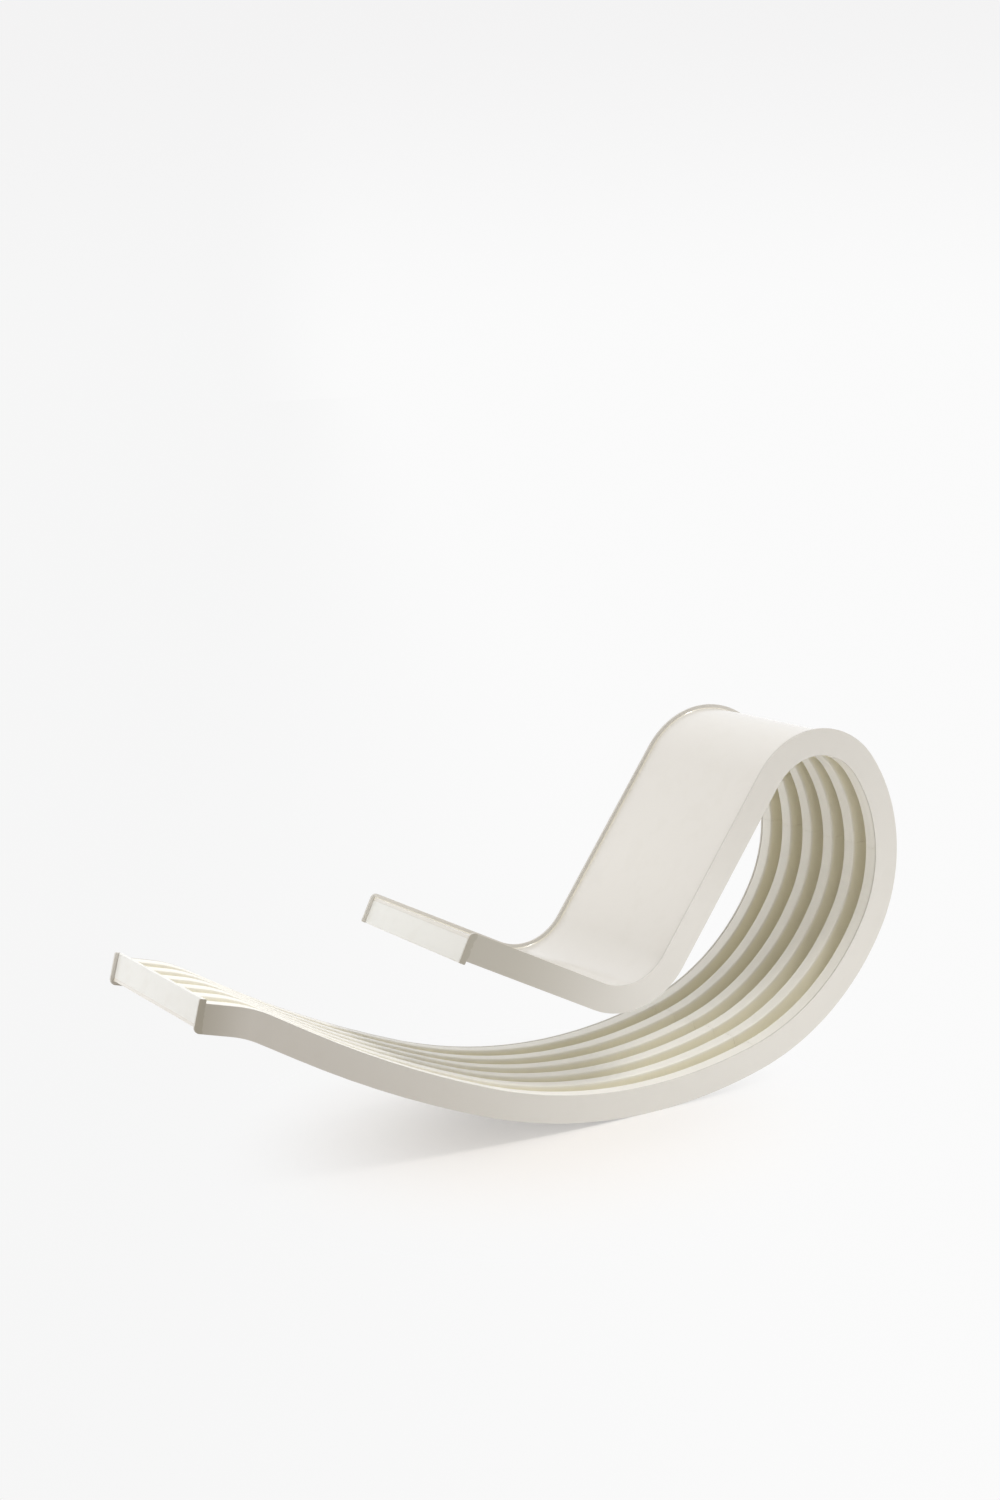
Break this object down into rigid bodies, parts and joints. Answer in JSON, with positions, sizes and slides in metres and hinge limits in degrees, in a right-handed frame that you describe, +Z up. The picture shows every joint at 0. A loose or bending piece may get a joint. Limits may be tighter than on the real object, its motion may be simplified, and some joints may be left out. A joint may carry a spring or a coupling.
{
  "type": "rocking relaxation lounger",
  "caption": "Rocking relaxation lounger: one ribbon of ribs, skins and side cheeks forms foot rest, rocking base, loop, back rest and thigh rest.",
  "frame": {"origin": "centre of the bounding box's underside, on the floor", "axes": "+X from the foot rest towards the loop behind the back rest, +Y across the width, from the near cheek in the picture to the far one, +Z up"},
  "size_m": [1.9345, 0.48, 0.8724],
  "materials": {
    "cheek_ivory": "ivory-white satin lacquer",
    "skin_ivory": "ivory-white glossy lacquer",
    "rib_ivory": "ivory-white satin lacquer",
    "plate_white": "white satin lacquer",
    "beech": "bare wood"
  },
  "bodies": {
    "root": {"left_cheek": "cheek_ivory", "right_cheek": "cheek_ivory", "lounge_skin": "skin_ivory", "loop_skin": "skin_ivory", "rocker_skin": "skin_ivory", "seat_end_plate": "plate_white", "foot_end_plate": "plate_white", "rib1_seat": "rib_ivory", "rib1_head": "rib_ivory", "rib1_loop": "rib_ivory", "rib1_rocker": "rib_ivory", "rib1_foot": "rib_ivory", "rib2_seat": "rib_ivory", "rib2_head": "rib_ivory", "rib2_loop": "rib_ivory", "rib2_rocker": "rib_ivory", "rib2_foot": "rib_ivory", "rib3_seat": "rib_ivory", "rib3_head": "rib_ivory", "rib3_loop": "rib_ivory", "rib3_rocker": "rib_ivory", "rib3_foot": "rib_ivory", "rib4_seat": "rib_ivory", "rib4_head": "rib_ivory", "rib4_loop": "rib_ivory", "rib4_rocker": "rib_ivory", "rib4_foot": "rib_ivory", "rib5_seat": "rib_ivory", "rib5_head": "rib_ivory", "rib5_loop": "rib_ivory", "rib5_rocker": "rib_ivory", "rib5_foot": "rib_ivory", "rib6_seat": "rib_ivory", "rib6_head": "rib_ivory", "rib6_loop": "rib_ivory", "rib6_rocker": "rib_ivory", "rib6_foot": "rib_ivory", "back_tenons": "beech", "loop_tenons": "beech", "heel_tenons": "beech", "sweep_tenons": "beech", "seat_end_dowels": "beech", "foot_end_dowels": "beech"}
  },
  "joints": []
}
